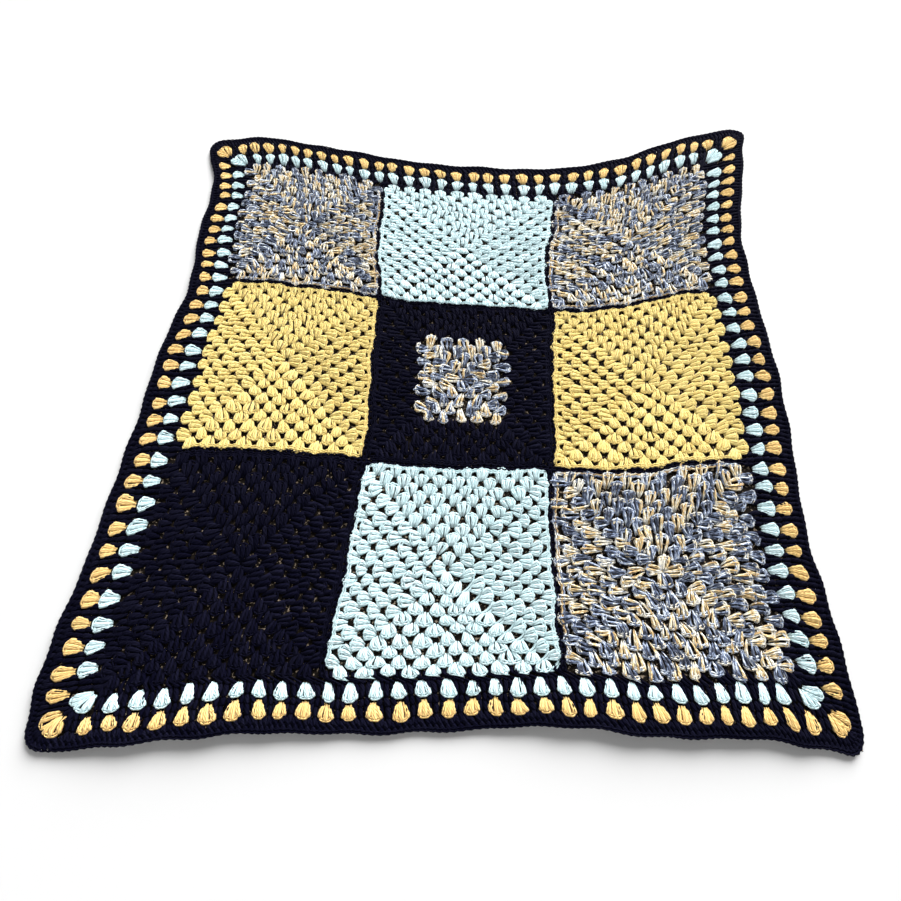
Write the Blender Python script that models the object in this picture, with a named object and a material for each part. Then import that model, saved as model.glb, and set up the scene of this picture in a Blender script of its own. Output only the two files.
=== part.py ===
"""Crocheted afghan of nine granny squares, lying flat on a surface.

Every piece is drawn in the plan of the cloth as it was worked, where all
squares and rounds are straight.  It is then carried to where that place of
the cloth lies on the surface, with the drawn-out corners and the small lifts
of the edges.  Lengths are metres, +Z is up, the underside is z = 0, and the
near side of the cloth is -Y.
"""
import math
from collections import namedtuple

import bmesh
import bpy
from mathutils.kdtree import KDTree

# Driving sizes in metres
CLUSTER_PITCH = 0.026        # width of one cluster of three stitches
PANEL_ROUNDS = 10            # coloured rounds in one square
CENTRE_ROUNDS = 5            # mixed rounds in the middle square
FIRST_ROUND_START = 0.2      # from a square's middle to its first round, in pitches
ROUND_HEIGHT = 0.48          # of each round of a square, in pitches
CORNER_TO_CLUSTER = 0.68     # from a corner to the middle of the side's last cluster
JOIN_WIDTH = 0.35            # dark join between two squares, in pitches
SIDE_GAP = 0.0005            # clearance between straight neighbours
TOOTH_GAP = 0.0008           # clearance between toothed neighbours
PANEL_THICKNESS = 0.0050
JOIN_THICKNESS = 0.0042
DARK_ROUND_THICKNESS = 0.0048
COLOUR_ROUND_THICKNESS = 0.0056
LIFT_REACH = 3.4             # how far in from the edge a lift dies out
WELD = 0.000002

# Distances from the middle of the cloth to each line of the border, in pitches
CLOTH_HALF = 18.1
CORNER_RADIUS = 1.25
CORNER_ARC_STEPS = 6         # from a corner's middle to its end
EDGE_STATION = 2             # between two points of the outer edge
EDGE_STATIONS_TO = 16
PANEL_STEP = PANEL_ROUNDS + JOIN_WIDTH
PANEL_HALF = PANEL_ROUNDS / 2
PANEL_TOOTH_OUT = 0.07
PANEL_TOOTH_IN = -0.30

# One row per line between two rounds: clusters along a side of the inner
# round, and how far out the line runs at their middles, between them and at
# the corner, in pitches
RoundLine = namedtuple("RoundLine", "clusters at_middle between at_corner")
BLUE_INSIDE = RoundLine(31, 16.33, 15.65, 15.65)
BLUE_OUTSIDE = RoundLine(32, 16.57, 16.43, 16.15)
YELLOW_INSIDE = RoundLine(33, 17.28, 16.68, 16.68)
YELLOW_OUTSIDE = RoundLine(34, 17.52, 17.38, 17.10)
CENTRE_OUTSIDE = RoundLine(CENTRE_ROUNDS, 2.80, 2.45, 2.45)

# One row per station, an eighth of each edge apart, first at the left or near
# end: how far the edge lies outside the straight line, how far it is slid
# along it and how high it is lifted, in millimetres
EdgeRow = namedtuple(
    "EdgeRow",
    "near_out near_slide near_lift right_out right_slide right_lift "
    "far_out far_slide far_lift left_out left_slide left_lift",
)
EDGE_ROWS = (
    EdgeRow(62, -33, 2, 7, -36, 1, 6, -9, 2, 33, -62, 2),
    EdgeRow(50, -24, 9, -3, -29, 4, 17, -19, 4, 30, -66, 5),
    EdgeRow(32, -9, 9, -14, -18, 5, -4, -24, 3, 14, -42, 3),
    EdgeRow(30, -3, 4, -9, -3, 2, -30, -21, 2, 2, -12, 2),
    EdgeRow(20, 11, 3, -7, 13, 6, -48, -9, 2, -6, 8, 4),
    EdgeRow(14, 18, 10, -15, 30, 2, -52, 6, 2, -26, 17, 6),
    EdgeRow(21, 22, 10, -15, 39, 3, -30, 21, 3, -19, 18, 2),
    EdgeRow(21, 17, 8, 5, 47, 4, 27, 30, 4, -21, 13, 3),
    EdgeRow(36, 7, 1, 33, 62, 2, 62, 33, 2, 9, 6, 2),
)

# One row per line across the squares, near to far: how far the two joins
# that run away from the viewer are slid sideways there, in millimetres
JoinRow = namedtuple("JoinRow", "line left_join right_join")
JOIN_ROWS = (
    JoinRow(-1.5 * PANEL_STEP, -16, -13),
    JoinRow(-0.5 * PANEL_STEP, 6, -14),
    JoinRow(0.5 * PANEL_STEP, 0, -3),
    JoinRow(1.5 * PANEL_STEP, -7, 7),
)

# Gaps that are cut through the four open squares, in pitches
CORNER_GAP_ROUNDS = range(2, 10)
SIDE_GAP_ROUNDS = range(3, 10, 2)
SIDE_GAP_HALF_WIDTH = 0.18
SIDE_GAP_INNER = 0.02
SIDE_GAP_OUTER = 0.38
CORNER_GAP_APEX = 0.04
CORNER_GAP_DEPTH = 0.37
CORNER_GAP_SPREAD = 0.30
CENTRE_GAP_RADIUS = 0.17
CENTRE_GAP_SIDES = 6

Yarn = namedtuple("Yarn", "red green blue roughness")
YARNS = {
    "yarn_dark": Yarn(0.010, 0.009, 0.018, 0.92),
    "yarn_light_blue": Yarn(0.56, 0.84, 0.92, 0.90),
    "yarn_yellow": Yarn(0.90, 0.61, 0.17, 0.90),
    "yarn_mixed": Yarn(0.33, 0.36, 0.43, 0.90),
}

# One row per square: name, column, row, yarn and whether its gaps are cut
PanelRow = namedtuple("PanelRow", "name column row yarn open")
PANEL_ROWS = (
    PanelRow("panel_far_left", -1, 1, "yarn_mixed", False),
    PanelRow("panel_far_middle", 0, 1, "yarn_light_blue", True),
    PanelRow("panel_far_right", 1, 1, "yarn_mixed", False),
    PanelRow("panel_middle_left", -1, 0, "yarn_yellow", True),
    PanelRow("panel_centre_dark", 0, 0, "yarn_dark", False),
    PanelRow("panel_middle_right", 1, 0, "yarn_yellow", True),
    PanelRow("panel_near_left", -1, -1, "yarn_dark", False),
    PanelRow("panel_near_middle", 0, -1, "yarn_light_blue", True),
    PanelRow("panel_near_right", 1, -1, "yarn_mixed", False),
)


def smooth_read(values, place):
    """Read a row of evenly spaced values at place 0 to 1 on a smooth curve."""
    spans = len(values) - 1
    along = min(max(place, 0.0), 1.0) * spans
    index = min(int(along), spans - 1)
    part = along - index
    here = values[index]
    after = values[index + 1]
    before = values[index - 1] if index > 0 else 2 * here - after
    beyond = values[index + 2] if index + 2 <= spans else 2 * after - here
    slope_here = (after - before) / 2
    slope_after = (beyond - here) / 2
    square = part * part
    cube = square * part
    return (
        here * (2 * cube - 3 * square + 1)
        + slope_here * (cube - 2 * square + part)
        + after * (3 * square - 2 * cube)
        + slope_after * (cube - square)
    )


def edge_read(column, place):
    """Read one named column of the edge table, in metres."""
    return smooth_read([getattr(row, column) for row in EDGE_ROWS], place) / 1000


def mix(low, high, part):
    return low * (1 - part) + high * part


def edge_move(side, place):
    """Plan movement of the cloth's edge at place 0 to 1 along one side."""
    out = edge_read(side + "_out", place)
    slide = edge_read(side + "_slide", place)
    return {
        "near": (slide, -out),
        "far": (slide, out),
        "right": (out, slide),
        "left": (-out, slide),
    }[side]


def plan_move(across, along):
    """Blend the movements of the four edges at a place of the cloth."""
    near = edge_move("near", across)
    far = edge_move("far", across)
    left = edge_move("left", along)
    right = edge_move("right", along)
    near_ends = (edge_move("near", 0.0), edge_move("near", 1.0))
    far_ends = (edge_move("far", 0.0), edge_move("far", 1.0))
    moved = []
    for axis in (0, 1):
        corners = mix(
            mix(near_ends[0][axis], near_ends[1][axis], across),
            mix(far_ends[0][axis], far_ends[1][axis], across),
            along,
        )
        edges = mix(near[axis], far[axis], along) + mix(left[axis], right[axis], across)
        moved.append(edges - corners)
    return moved


def edge_lift(u, v, across, along):
    """Height of the underside, which is lifted only near the edges."""
    half = CLOTH_HALF * CLUSTER_PITCH
    reach = LIFT_REACH * CLUSTER_PITCH
    total = 0.0
    weights = 0.0
    for side, place, inside in (
        ("near", across, v + half),
        ("far", across, half - v),
        ("left", along, u + half),
        ("right", along, half - u),
    ):
        if inside < reach:
            weight = (1 + math.cos(math.pi * max(inside, 0.0) / reach)) / 2
            total += edge_read(side + "_lift", place) * weight * weight
            weights += weight
    return total / weights if weights > 0 else 0.0


def lay(u, v, w):
    """Carry a point of the worked cloth to where it lies."""
    half = CLOTH_HALF * CLUSTER_PITCH
    across = (u + half) / (2 * half)
    along = (v + half) / (2 * half)
    move_x, move_y = plan_move(across, along)
    return (u + move_x, v + move_y, w + edge_lift(u, v, across, along))


def join_slide(u, v):
    """Sideways slide of the squares, which the border doesn't take part in."""
    block = 1.5 * PANEL_STEP * CLUSTER_PITCH
    if max(abs(u), abs(v)) > block:
        return 0.0
    along = (v + block) / (2 * block)
    left = smooth_read([row.left_join for row in JOIN_ROWS], along) / 1000
    right = smooth_read([row.right_join for row in JOIN_ROWS], along) / 1000
    return smooth_read([0.0, left, right, 0.0], (u + block) / (2 * block))


def turn(u, v, quarter):
    """Turn a place of the cloth by quarter turns about its middle."""
    for _ in range(quarter):
        u, v = -v, u
    return (u, v)


def turn_sides(side_points):
    """Repeat one side's (across, out) points round the four sides."""
    loop = []
    for quarter in range(4):
        for across, out in side_points:
            u, v = turn(across, -out, quarter)
            loop.append((u * CLUSTER_PITCH, v * CLUSTER_PITCH))
    return loop


def round_loop(line, clearance):
    """Toothed line between two rounds, moved outwards by the clearance."""
    move = clearance / CLUSTER_PITCH
    corner = line.at_corner + move
    points = [(-corner, corner)]
    for step in range(1, 2 * line.clusters):
        across = (step - line.clusters) / 2
        out = line.at_middle if step % 2 else line.between
        points.append((across, out + move))
    return turn_sides(points)


def corner_point(centre, angle):
    return (centre[0] + CORNER_RADIUS * math.sin(angle), centre[1] + CORNER_RADIUS * math.cos(angle))


def outer_loop():
    """Outer edge of the cloth with its rounded corners."""
    centre = CLOTH_HALF - CORNER_RADIUS
    turn_step = math.pi / 4 / CORNER_ARC_STEPS
    points = []
    for step in range(-CORNER_ARC_STEPS, 1):
        points.append(corner_point((-centre, centre), step * turn_step))
    for across in range(-EDGE_STATIONS_TO, EDGE_STATIONS_TO + 1, EDGE_STATION):
        points.append((across, CLOTH_HALF))
    for step in range(CORNER_ARC_STEPS):
        points.append(corner_point((centre, centre), step * turn_step))
    return turn_sides(points)


def panel_place(points, column, row):
    """Move points of a square, in pitches, to its place in the cloth."""
    placed = []
    for u, v in points:
        placed.append(((u + column * PANEL_STEP) * CLUSTER_PITCH, (v + row * PANEL_STEP) * CLUSTER_PITCH))
    return placed


def panel_side(is_outer):
    """(across, out) points of a square's side from its first corner."""
    side_gap = SIDE_GAP / CLUSTER_PITCH / 2
    tooth_gap = TOOTH_GAP / CLUSTER_PITCH / 2
    if not is_outer:
        quarter = PANEL_HALF / 2
        return [(across, PANEL_HALF - side_gap) for across in (-quarter, 0.0, quarter)]
    points = []
    for step in range(1, 2 * PANEL_ROUNDS):
        tooth = PANEL_TOOTH_OUT if step % 2 else PANEL_TOOTH_IN
        points.append((step / 2 - PANEL_HALF, PANEL_HALF + tooth - tooth_gap))
    return points


def panel_loop(column, row):
    """Outline of one square: teeth towards the border, straight at a join."""
    side_is_outer = (row == -1, column == 1, row == 1, column == -1)
    gaps = [(TOOTH_GAP if outer else SIDE_GAP) / CLUSTER_PITCH / 2 for outer in side_is_outer]
    loop = []
    for quarter in range(4):
        before = gaps[quarter - 1]
        points = [(-(PANEL_HALF - before), PANEL_HALF - gaps[quarter])]
        points += panel_side(side_is_outer[quarter])
        loop += panel_place([turn(across, -out, quarter) for across, out in points], column, row)
    return loop


def block_loop(clearance):
    """Inner edge of the first border round, round all nine squares."""
    move = clearance / CLUSTER_PITCH
    block = PANEL_STEP + PANEL_HALF
    points = [(-(block + move), block + move)]
    for column in (-1, 0, 1):
        if column > -1:
            points.append((column * PANEL_STEP - PANEL_HALF, block + move))
        for step in range(1, 2 * PANEL_ROUNDS):
            tooth = PANEL_TOOTH_OUT if step % 2 else PANEL_TOOTH_IN
            points.append((column * PANEL_STEP + step / 2 - PANEL_HALF, block + tooth + move))
        if column < 1:
            points.append((column * PANEL_STEP + PANEL_HALF, block + move))
    return turn_sides(points)


def join_loops():
    """Outline of the crossing joins and the hole for the middle square."""
    line = PANEL_STEP / 2
    half = JOIN_WIDTH / 2 - SIDE_GAP / CLUSTER_PITCH / 2
    end = PANEL_STEP + PANEL_HALF - TOOTH_GAP / CLUSTER_PITCH / 2
    quarter = PANEL_HALF / 2
    stations = [PANEL_STEP - quarter, PANEL_STEP, PANEL_STEP + quarter]
    points = []
    for side in (-1, 1):
        outgoing = side * line - half
        returning = side * line + half
        points += [(outgoing, out) for out in stations]
        points += [(outgoing, end), (returning, end)]
        points += [(returning, out) for out in reversed(stations)]
        points.append((returning, line + half))
        if side == -1:
            points += [(across, line + half) for across in (-quarter, 0.0, quarter)]
            points.append((line - half, line + half))
    middle_hole = [(-line + half, line - half)]
    middle_hole += [(across, line - half) for across in (-quarter, 0.0, quarter)]
    return [turn_sides(points), turn_sides(middle_hole)]


def panel_gaps(column, row):
    """Gaps cut through an open square, the corner spaces first."""
    gaps = []
    for quarter in range(4):
        for number in CORNER_GAP_ROUNDS:
            base = FIRST_ROUND_START + ROUND_HEIGHT * (number - 1)
            inner = base + CORNER_GAP_APEX
            outer = base + CORNER_GAP_DEPTH
            back = outer - CORNER_GAP_SPREAD
            points = [(-inner, -inner), (-back, -outer), (-outer, -back)]
            gaps.append(panel_place([turn(u, v, quarter) for u, v in points], column, row))
        for number in SIDE_GAP_ROUNDS:
            base = FIRST_ROUND_START + ROUND_HEIGHT * (number - 1)
            spacing = 2 * (base + ROUND_HEIGHT - CORNER_TO_CLUSTER) / (number - 1)
            for index in range(1, number, 2):
                middle = (index - number / 2) * spacing
                points = [
                    (middle - SIDE_GAP_HALF_WIDTH, -base - SIDE_GAP_INNER),
                    (middle + SIDE_GAP_HALF_WIDTH, -base - SIDE_GAP_INNER),
                    (middle, -base - SIDE_GAP_OUTER),
                ]
                gaps.append(panel_place([turn(u, v, quarter) for u, v in points], column, row))
    ring = []
    for step in range(CENTRE_GAP_SIDES):
        angle = 2 * math.pi * step / CENTRE_GAP_SIDES
        ring.append((CENTRE_GAP_RADIUS * math.cos(angle), CENTRE_GAP_RADIUS * math.sin(angle)))
    gaps.append(panel_place(ring, column, row))
    return gaps


def clear_scene():
    for item in list(bpy.data.objects):
        bpy.data.objects.remove(item, do_unlink=True)


def yarn_material(name):
    material = bpy.data.materials.new(name)
    material.use_nodes = True
    shader = material.node_tree.nodes["Principled BSDF"]
    yarn = YARNS[name]
    shader.inputs["Base Color"].default_value = (yarn.red, yarn.green, yarn.blue, 1.0)
    shader.inputs["Roughness"].default_value = yarn.roughness
    shader.inputs["Metallic"].default_value = 0.0
    return material


def flat_slab(name, loops, thickness):
    """Fill closed loops as a flat slab; inner loops are holes."""
    curve = bpy.data.curves.new(name, "CURVE")
    curve.dimensions = "2D"
    curve.fill_mode = "BOTH"
    curve.extrude = thickness / 2
    for loop in loops:
        spline = curve.splines.new("POLY")
        spline.points.add(len(loop) - 1)
        for point, (x, y, _) in zip(spline.points, loop):
            point.co = (x, y, 0.0, 1.0)
        spline.use_cyclic_u = True
    drawn = bpy.data.objects.new(name + "_drawn", curve)
    bpy.context.scene.collection.objects.link(drawn)
    bpy.context.view_layer.update()
    evaluated = drawn.evaluated_get(bpy.context.evaluated_depsgraph_get())
    mesh = bpy.data.meshes.new_from_object(evaluated)
    bpy.data.objects.remove(drawn, do_unlink=True)
    bpy.data.curves.remove(curve)
    mesh.name = name
    return mesh


def laid_loop(loop, shift, origin):
    """Carry a loop to where it lies, about the piece's own origin."""
    laid = []
    for u, v in loop:
        x, y, z = lay(u + join_slide(u, v), v, 0.0)
        laid.append((x - shift[0] - origin[0], y - shift[1] - origin[1], z))
    return laid


def make_piece(name, loops, thickness, yarn, centre, shift, parent, collection):
    """Make one closed piece, filled between its laid loops."""
    middle = lay(centre[0], centre[1], 0.0)
    origin = (middle[0] - shift[0], middle[1] - shift[1], 0.0)
    laid = [laid_loop(loop, shift, origin) for loop in loops]
    mesh = flat_slab(name, laid, thickness)

    places = [place for loop in laid for place in loop]
    finder = KDTree(len(places))
    for index, (x, y, _) in enumerate(places):
        finder.insert((x, y, 0.0), index)
    finder.balance()

    body = bmesh.new()
    body.from_mesh(mesh)
    bmesh.ops.remove_doubles(body, verts=body.verts, dist=WELD)
    bmesh.ops.triangulate(body, faces=body.faces)
    for side in (-1, 1):
        level = [face for face in body.faces if face.calc_center_median().z * side > thickness / 3]
        members = set(level)
        inner_edges = {edge for face in level for edge in face.edges if members.issuperset(edge.link_faces)}
        bmesh.ops.beautify_fill(body, faces=level, edges=list(inner_edges), method="ANGLE")
    for vertex in body.verts:
        _, index, _ = finder.find((vertex.co.x, vertex.co.y, 0.0))
        vertex.co.z += thickness / 2 + places[index][2]
    bmesh.ops.recalc_face_normals(body, faces=body.faces)
    body.to_mesh(mesh)
    body.free()
    piece = bpy.data.objects.new(name, mesh)
    mesh.materials.clear()
    mesh.materials.append(yarn_material(yarn) if yarn not in bpy.data.materials else bpy.data.materials[yarn])
    collection.objects.link(piece)
    piece.parent = parent
    piece.location = origin
    return piece


def outline_middle():
    """Middle of the laid cloth's bounding rectangle."""
    places = [lay(u, v, 0.0) for u, v in outer_loop()]
    xs = [place[0] for place in places]
    ys = [place[1] for place in places]
    return ((min(xs) + max(xs)) / 2, (min(ys) + max(ys)) / 2)


def build_afghan():
    clear_scene()
    collection = bpy.data.collections.new("crochet_afghan")
    bpy.context.scene.collection.children.link(collection)
    root = bpy.data.objects.new("crochet_afghan_root", None)
    collection.objects.link(root)
    shift = outline_middle()
    common = (shift, root, collection)

    for panel in PANEL_ROWS:
        loops = [panel_loop(panel.column, panel.row)]
        if panel.open:
            loops += panel_gaps(panel.column, panel.row)
        if panel.column == 0 and panel.row == 0:
            loops.append(round_loop(CENTRE_OUTSIDE, TOOTH_GAP / 2))
        step = PANEL_STEP * CLUSTER_PITCH
        centre = (panel.column * step, panel.row * step)
        make_piece(panel.name, loops, PANEL_THICKNESS, panel.yarn, centre, *common)

    middle = (0.0, 0.0)
    inner = [round_loop(CENTRE_OUTSIDE, -TOOTH_GAP / 2)]
    make_piece("panel_centre_mixed", inner, PANEL_THICKNESS, "yarn_mixed", middle, *common)
    make_piece("joins_dark", join_loops(), JOIN_THICKNESS, "yarn_dark", middle, *common)

    half = TOOTH_GAP / 2
    rounds = (
        ("border_dark_inner", "yarn_dark", DARK_ROUND_THICKNESS,
         [round_loop(BLUE_INSIDE, -half), block_loop(half)]),
        ("border_light_blue", "yarn_light_blue", COLOUR_ROUND_THICKNESS,
         [round_loop(BLUE_OUTSIDE, -half), round_loop(BLUE_INSIDE, half)]),
        ("border_dark_middle", "yarn_dark", DARK_ROUND_THICKNESS,
         [round_loop(YELLOW_INSIDE, -half), round_loop(BLUE_OUTSIDE, half)]),
        ("border_yellow", "yarn_yellow", COLOUR_ROUND_THICKNESS,
         [round_loop(YELLOW_OUTSIDE, -half), round_loop(YELLOW_INSIDE, half)]),
        ("border_dark_outer", "yarn_dark", DARK_ROUND_THICKNESS,
         [outer_loop(), round_loop(YELLOW_OUTSIDE, half)]),
    )
    for name, yarn, thickness, loops in rounds:
        make_piece(name, loops, thickness, yarn, middle, *common)


build_afghan()
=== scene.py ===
"""Looks of the crocheted afghan: every stitch is a strand of yarn on its solid.

Stitches are placed in the plan of the cloth as it was worked, in cluster
pitches, and are then carried to where that place of the cloth lies.
"""
import math
from collections import namedtuple

import bpy
import numpy as np
from mathutils import Matrix, Vector


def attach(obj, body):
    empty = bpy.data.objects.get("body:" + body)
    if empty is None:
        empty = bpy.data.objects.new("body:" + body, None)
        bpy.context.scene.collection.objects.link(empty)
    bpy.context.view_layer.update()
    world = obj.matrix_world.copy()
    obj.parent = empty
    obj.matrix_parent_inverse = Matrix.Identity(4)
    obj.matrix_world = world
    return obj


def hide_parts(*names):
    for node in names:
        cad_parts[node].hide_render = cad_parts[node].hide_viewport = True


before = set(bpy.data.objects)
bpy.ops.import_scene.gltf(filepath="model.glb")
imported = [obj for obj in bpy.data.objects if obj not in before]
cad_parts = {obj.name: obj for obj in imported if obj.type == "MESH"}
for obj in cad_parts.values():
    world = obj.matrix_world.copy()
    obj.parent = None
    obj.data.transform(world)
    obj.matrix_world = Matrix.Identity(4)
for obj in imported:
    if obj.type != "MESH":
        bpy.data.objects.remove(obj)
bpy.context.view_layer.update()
SEED = 11

# Driving sizes of the cloth, in metres or in cluster pitches, as in the solids
CLUSTER_PITCH = 0.026
PANEL_ROUNDS = 10
CENTRE_ROUNDS = 5
FIRST_ROUND_START = 0.2
ROUND_HEIGHT = 0.48
CLUSTER_STEP = 2 * ROUND_HEIGHT
JOIN_WIDTH = 0.35
LIFT_REACH = 3.4             # the rim is lifted so far inwards
CLOTH_HALF = 18.1
CORNER_RADIUS = 1.25
EDGE_STATION = 2             # spacing of the points along a straight edge
EDGE_STATIONS_TO = 16        # out to here from the middle of the edge
CORNER_ARC_STEPS = 6         # steps of half a corner's arc
PANEL_STEP = PANEL_ROUNDS + JOIN_WIDTH
PANEL_HALF = PANEL_ROUNDS / 2
BLOCK_HALF = PANEL_STEP + PANEL_HALF
SLIDE_FULL_TO = 15.42        # the border's slide fades from here
SLIDE_NONE_FROM = 15.58      # to here, in pitches from the middle

# One row per station, an eighth of each edge apart, first at the left or near
# end: how far the edge lies outside the straight line, how far it is slid
# along it and how high it is lifted, in millimetres
EdgeRow = namedtuple(
    "EdgeRow",
    "near_out near_slide near_lift right_out right_slide right_lift "
    "far_out far_slide far_lift left_out left_slide left_lift",
)
EDGE_ROWS = (
    EdgeRow(62, -33, 2, 7, -36, 1, 6, -9, 2, 33, -62, 2),
    EdgeRow(50, -24, 9, -3, -29, 4, 17, -19, 4, 30, -66, 5),
    EdgeRow(32, -9, 9, -14, -18, 5, -4, -24, 3, 14, -42, 3),
    EdgeRow(30, -3, 4, -9, -3, 2, -30, -21, 2, 2, -12, 2),
    EdgeRow(20, 11, 3, -7, 13, 6, -48, -9, 2, -6, 8, 4),
    EdgeRow(14, 18, 10, -15, 30, 2, -52, 6, 2, -26, 17, 6),
    EdgeRow(21, 22, 10, -15, 39, 3, -30, 21, 3, -19, 18, 2),
    EdgeRow(21, 17, 8, 5, 47, 4, 27, 30, 4, -21, 13, 3),
    EdgeRow(36, 7, 1, 33, 62, 2, 62, 33, 2, 9, 6, 2),
)

# One row per line across the squares, near to far: how far the two joins
# that run away from the viewer are slid sideways there, in millimetres
JoinRow = namedtuple("JoinRow", "line left_join right_join")
JOIN_ROWS = (
    JoinRow(-1.5 * PANEL_STEP, -16, -13),
    JoinRow(-0.5 * PANEL_STEP, 6, -14),
    JoinRow(0.5 * PANEL_STEP, 0, -3),
    JoinRow(1.5 * PANEL_STEP, -7, 7),
)

# Cross-sections of the strands in millimetres, anticlockwise seen from the
# strand's end: two plies with a groove between them, the same without the
# groove, one strand of a chain, and the wide strand under the edging
POST_SECTION = ((2.6, -0.4), (1.3, 1.5), (0.0, 0.55), (-1.3, 1.5), (-2.6, -0.4), (0.0, -1.7))
DARK_SECTION = ((2.5, -0.4), (1.2, 1.4), (-1.2, 1.4), (-2.5, -0.4), (0.0, -1.6))
CHAIN_SECTION = ((1.15, 0.0), (0.0, 1.1), (-1.15, 0.0), (0.0, -1.1))
EDGE_SECTION = ((5.5, 0.0), (2.7, 0.9), (-2.7, 0.9), (-5.5, 0.0), (0.0, -0.9))

# One row per kind of cluster, in pitches and millimetres: how far the outer
# stitches stand from the middle one at the foot and at the top, how far the
# foot and the top lie off their round lines, how much shorter the outer
# stitches are, the heights of foot and top above the underside, and the
# strand's size at foot and top against its section
ClusterShape = namedtuple(
    "ClusterShape", "foot_spread top_spread foot_in top_out arch foot_z top_z foot_size top_size"
)
OPEN_CLUSTER = ClusterShape(0.108, 0.264, -0.08, 0.07, 0.08, 1.7, 3.3, 0.72, 1.34)
CLOSE_CLUSTER = ClusterShape(0.128, 0.268, -0.10, 0.08, 0.07, 1.8, 3.2, 0.86, 1.36)
MIXED_CLUSTER = ClusterShape(0.080, 0.225, -0.28, 0.14, 0.10, 1.5, 3.9, 0.62, 1.02)
DARK_CLUSTER = ClusterShape(0.150, 0.262, -0.16, 0.09, 0.05, 2.0, 3.1, 1.05, 1.45)
BLUE_BORDER = ClusterShape(0.080, 0.230, 0.00, 0.02, 0.06, 1.6, 3.8, 0.66, 1.24)
YELLOW_BORDER = ClusterShape(0.100, 0.230, 0.00, 0.02, 0.08, 1.7, 3.8, 0.74, 1.26)
BORDER_DARK = ClusterShape(0.200, 0.270, -0.04, 0.04, 0.04, 1.8, 2.6, 1.10, 1.35)

# One row per square: its column and row from the middle one, its yarn, the
# shape of its clusters and its open corners, 0 for near right
PanelRow = namedtuple("PanelRow", "name column row yarn shape open_corners")
PANEL_ROWS = (
    PanelRow("panel_far_left", -1, 1, "yarn_mixed", MIXED_CLUSTER, ()),
    PanelRow("panel_far_middle", 0, 1, "yarn_light_blue", CLOSE_CLUSTER, ()),
    PanelRow("panel_far_right", 1, 1, "yarn_mixed", MIXED_CLUSTER, ()),
    PanelRow("panel_middle_left", -1, 0, "yarn_yellow", CLOSE_CLUSTER, ()),
    PanelRow("panel_centre_dark", 0, 0, "yarn_dark", DARK_CLUSTER, ()),
    PanelRow("panel_middle_right", 1, 0, "yarn_yellow", CLOSE_CLUSTER, ()),
    PanelRow("panel_near_left", -1, -1, "yarn_dark", DARK_CLUSTER, ()),
    PanelRow("panel_near_middle", 0, -1, "yarn_light_blue", OPEN_CLUSTER, (0,)),
    PanelRow("panel_near_right", 1, -1, "yarn_mixed", MIXED_CLUSTER, ()),
)

# One row per row of clusters in the border: how many stand on a side, how far
# from the middle their feet and tops are, and what turns each corner
ClusterRow = namedtuple("ClusterRow", "count foot top corner")
INNER_ROWS = (ClusterRow(31, 15.10, 15.68, "one"), ClusterRow(31, 15.60, 16.30, "none"))
BLUE_ROWS = (ClusterRow(32, 15.60, 16.42, "pair"),)
MIDDLE_ROWS = (ClusterRow(33, 16.35, 16.75, "one"), ClusterRow(33, 16.70, 17.25, "none"))
YELLOW_ROWS = (ClusterRow(34, 16.60, 17.38, "pair"),)
OUTER_ROWS = (ClusterRow(35, 17.20, 17.65, "one"),)

# One row per piece of the border, from the joins outwards
BorderPiece = namedtuple("BorderPiece", "name look slot shape rows")
BORDER_PIECES = (
    BorderPiece("joins_dark", "yarn_dark", "yarn_dark", BORDER_DARK, ()),
    BorderPiece("border_dark_inner", "yarn_dark", "yarn_dark", BORDER_DARK, INNER_ROWS),
    BorderPiece("border_light_blue", "yarn_light_blue", "yarn_light_blue", BLUE_BORDER, BLUE_ROWS),
    BorderPiece("border_dark_middle", "yarn_dark", "yarn_dark", BORDER_DARK, MIDDLE_ROWS),
    BorderPiece("border_yellow", "yarn_border_yellow", "yarn_yellow", YELLOW_BORDER, YELLOW_ROWS),
    BorderPiece("border_dark_outer", "yarn_dark", "yarn_dark", BORDER_DARK, OUTER_ROWS),
)

# The firm edging: rows of short stitches and strands that run right round, in
# pitches and millimetres
EdgingRow = namedtuple("EdgingRow", "reach_from reach_to spacing foot_z top_z start")
EDGING_ROWS = (
    EdgingRow(17.42, 17.80, 0.25, 2.0, 3.3, 0.0),
    EdgingRow(17.70, 18.02, 0.25, 2.1, 3.4, 0.5),
)
EdgeStrand = namedtuple("EdgeStrand", "reach spacing height section size sway")
EDGE_STRANDS = (
    EdgeStrand(17.82, 0.60, 1.7, EDGE_SECTION, 1.0, 0.0),
    EdgeStrand(17.90, 0.30, 3.9, CHAIN_SECTION, 1.1, 0.02),
    EdgeStrand(18.01, 0.30, 3.5, CHAIN_SECTION, 1.1, 0.02),
)
EDGING_LEAN = 0.1
LEAST_RADIUS = 0.05          # of a corner, well inside the edge
EDGING_SIZE = 1.12           # against the section of its strands

# Stations along a post, as a share of it, and numbers of stations elsewhere
POST_STATIONS = (0.0, 0.34, 0.66, 0.90, 1.0)
DARK_STATIONS = (0.0, 0.45, 0.85, 1.0)
SHORT_STATIONS = 4
CORNER_STATIONS = 7
LINK_STATIONS = 3

# How hand work wanders, in pitches and as a share: the stitches of plain and
# of mixed yarn and of the border from their places, and each cluster's width
STITCH_WANDER = 0.026
MIXED_WANDER = 0.058
BORDER_WANDER = 0.018
WIDTH_WANDER = 0.07
HEIGHT_WANDER = 0.12         # of a stitch, in millimetres
SIZE_WANDER = 0.04           # of a strand, as a share

# Shares of the wander: a cluster's foot and top, its stitches, and their feet
# and tops
CLUSTER_FOOT_SHARE = 0.5
CLUSTER_TOP_SHARE = 1.4
STITCH_SHARE = 0.6
FOOT_SHARE = 0.5
TOP_SHARE = 0.6

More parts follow.
